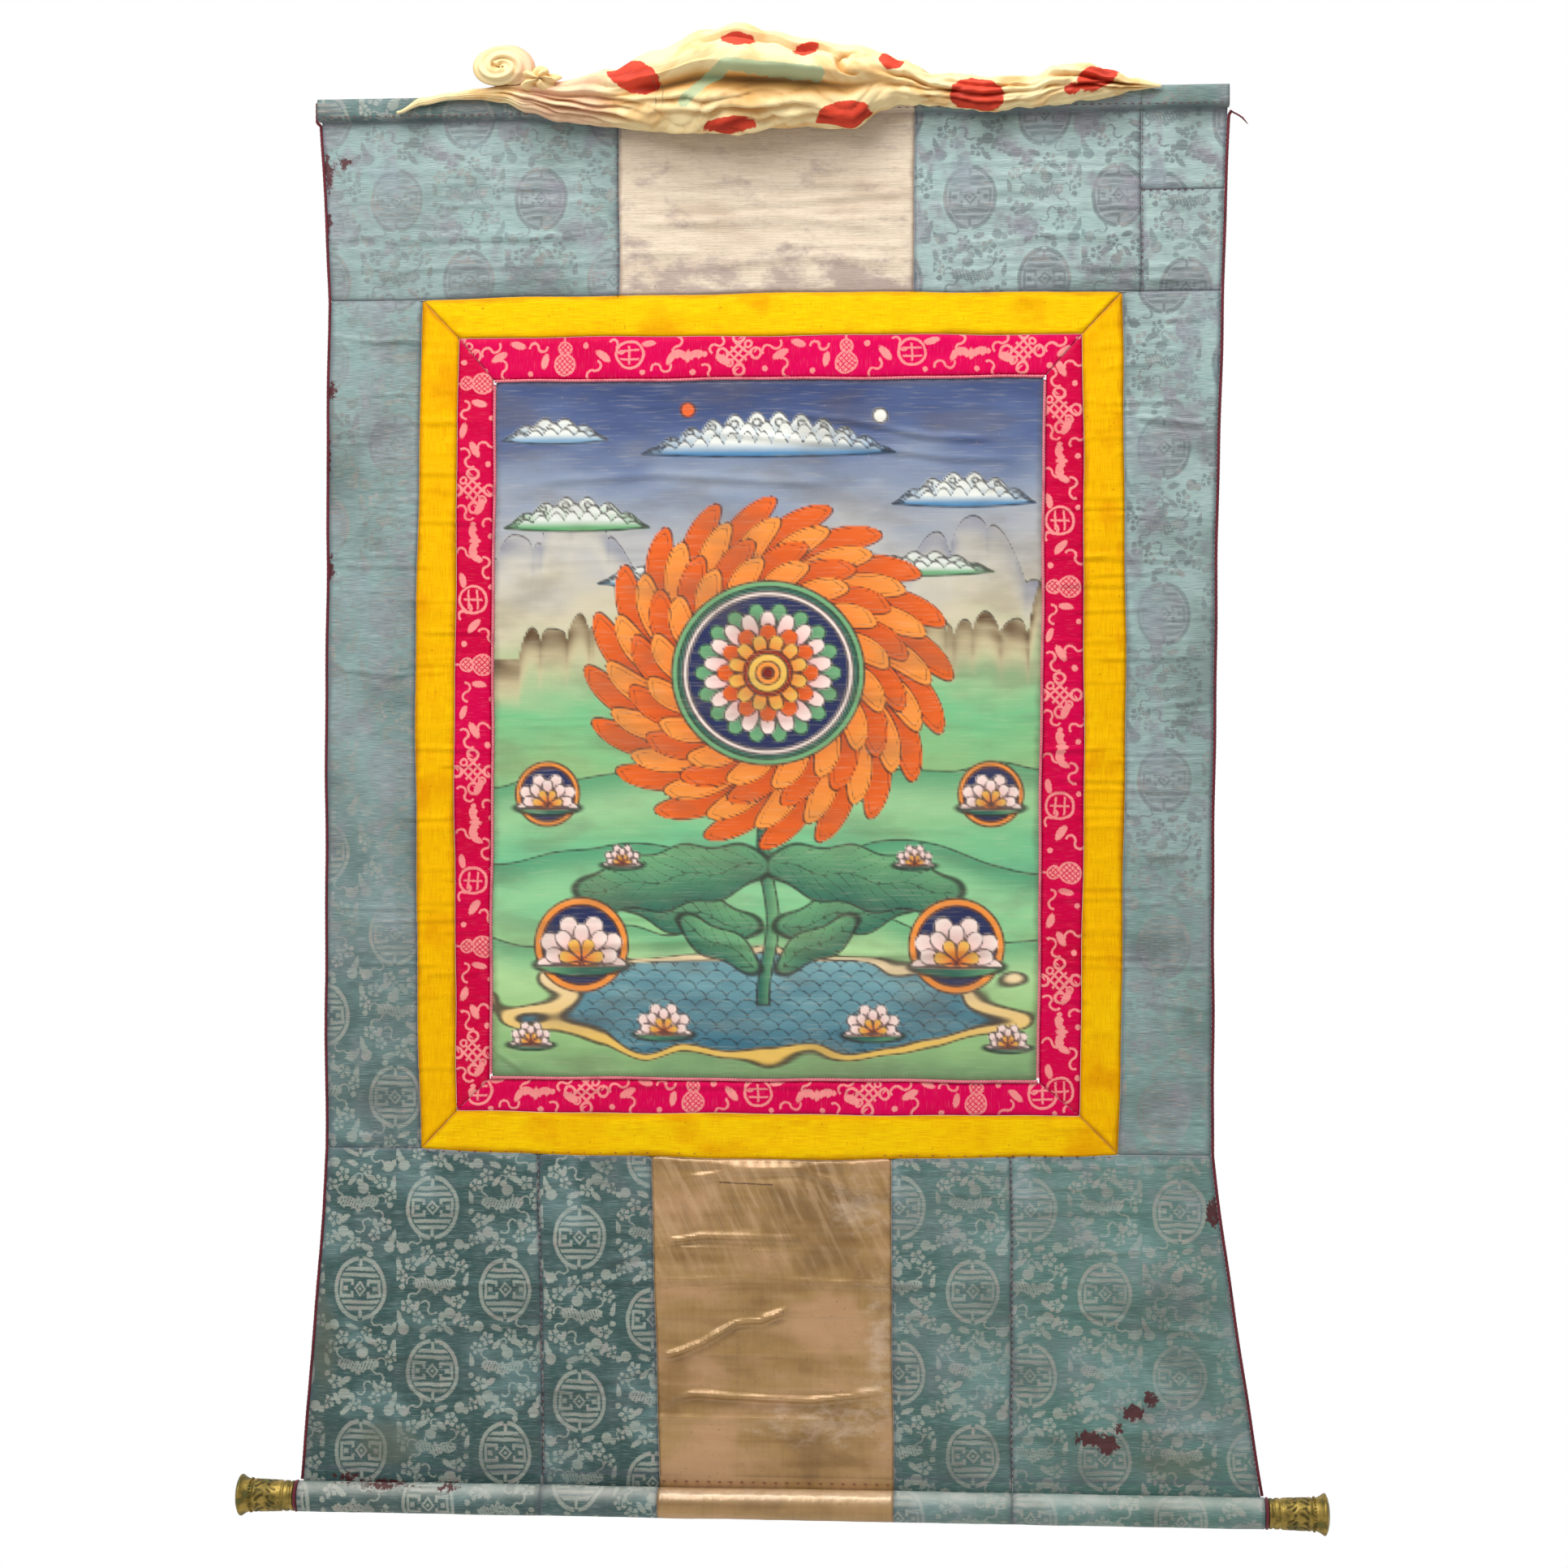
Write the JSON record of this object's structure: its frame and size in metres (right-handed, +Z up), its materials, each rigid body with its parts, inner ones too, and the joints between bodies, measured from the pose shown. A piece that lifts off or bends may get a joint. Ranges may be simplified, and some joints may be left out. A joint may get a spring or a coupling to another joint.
{
  "type": "thangka scroll painting",
  "caption": "Hung scroll with a painted cotton panel in mitred silk borders, brocade panels, a stave hem, a bunched veil along the top and a capped roller at the foot.",
  "frame": {"origin": "middle of the hem's top edge, in the mid-plane of the hung cloth", "axes": "+Z up, +X to the right as seen from the front, the painted front faces -Y"},
  "size_m": [0.8934, 0.0459, 1.2213],
  "materials": {
    "painted_cotton": "matt mineral paint on cotton",
    "pink_cord": "silk cord",
    "magenta_brocade": "figured silk",
    "yellow_silk": "plain silk with slubs",
    "blue_brocade": "faded figured silk",
    "cream_silk": "plain silk, water stained",
    "gold_satin": "worn satin",
    "red_cord": "cotton cord",
    "veil_silk": "thin silk with red dots",
    "brass_cap": "aged engraved brass"
  },
  "bodies": {
    "root": {"painting": "painted_cotton", "painting_piping_top": "pink_cord", "painting_piping_bottom": "pink_cord", "painting_piping_left": "pink_cord", "painting_piping_right": "pink_cord", "magenta_top": "magenta_brocade", "magenta_bottom": "magenta_brocade", "magenta_left": "magenta_brocade", "magenta_right": "magenta_brocade", "yellow_top": "yellow_silk", "yellow_bottom": "yellow_silk", "yellow_left": "yellow_silk", "yellow_right": "yellow_silk", "top_left": "blue_brocade", "top_patch": "cream_silk", "top_right": "blue_brocade", "top_far_right_upper": "blue_brocade", "top_far_right_lower": "blue_brocade", "side_left": "blue_brocade", "side_right": "blue_brocade", "bottom_outer_left": "blue_brocade", "bottom_inner_left": "blue_brocade", "bottom_patch": "gold_satin", "bottom_inner_right": "blue_brocade", "bottom_outer_right": "blue_brocade", "edge_piping_left": "red_cord", "edge_piping_right": "red_cord", "loose_thread": "red_cord", "roll_ring_left": "red_cord", "roll_ring_right": "red_cord", "cap_left": "brass_cap", "cap_right": "brass_cap", "veil": "veil_silk"}
  },
  "joints": []
}
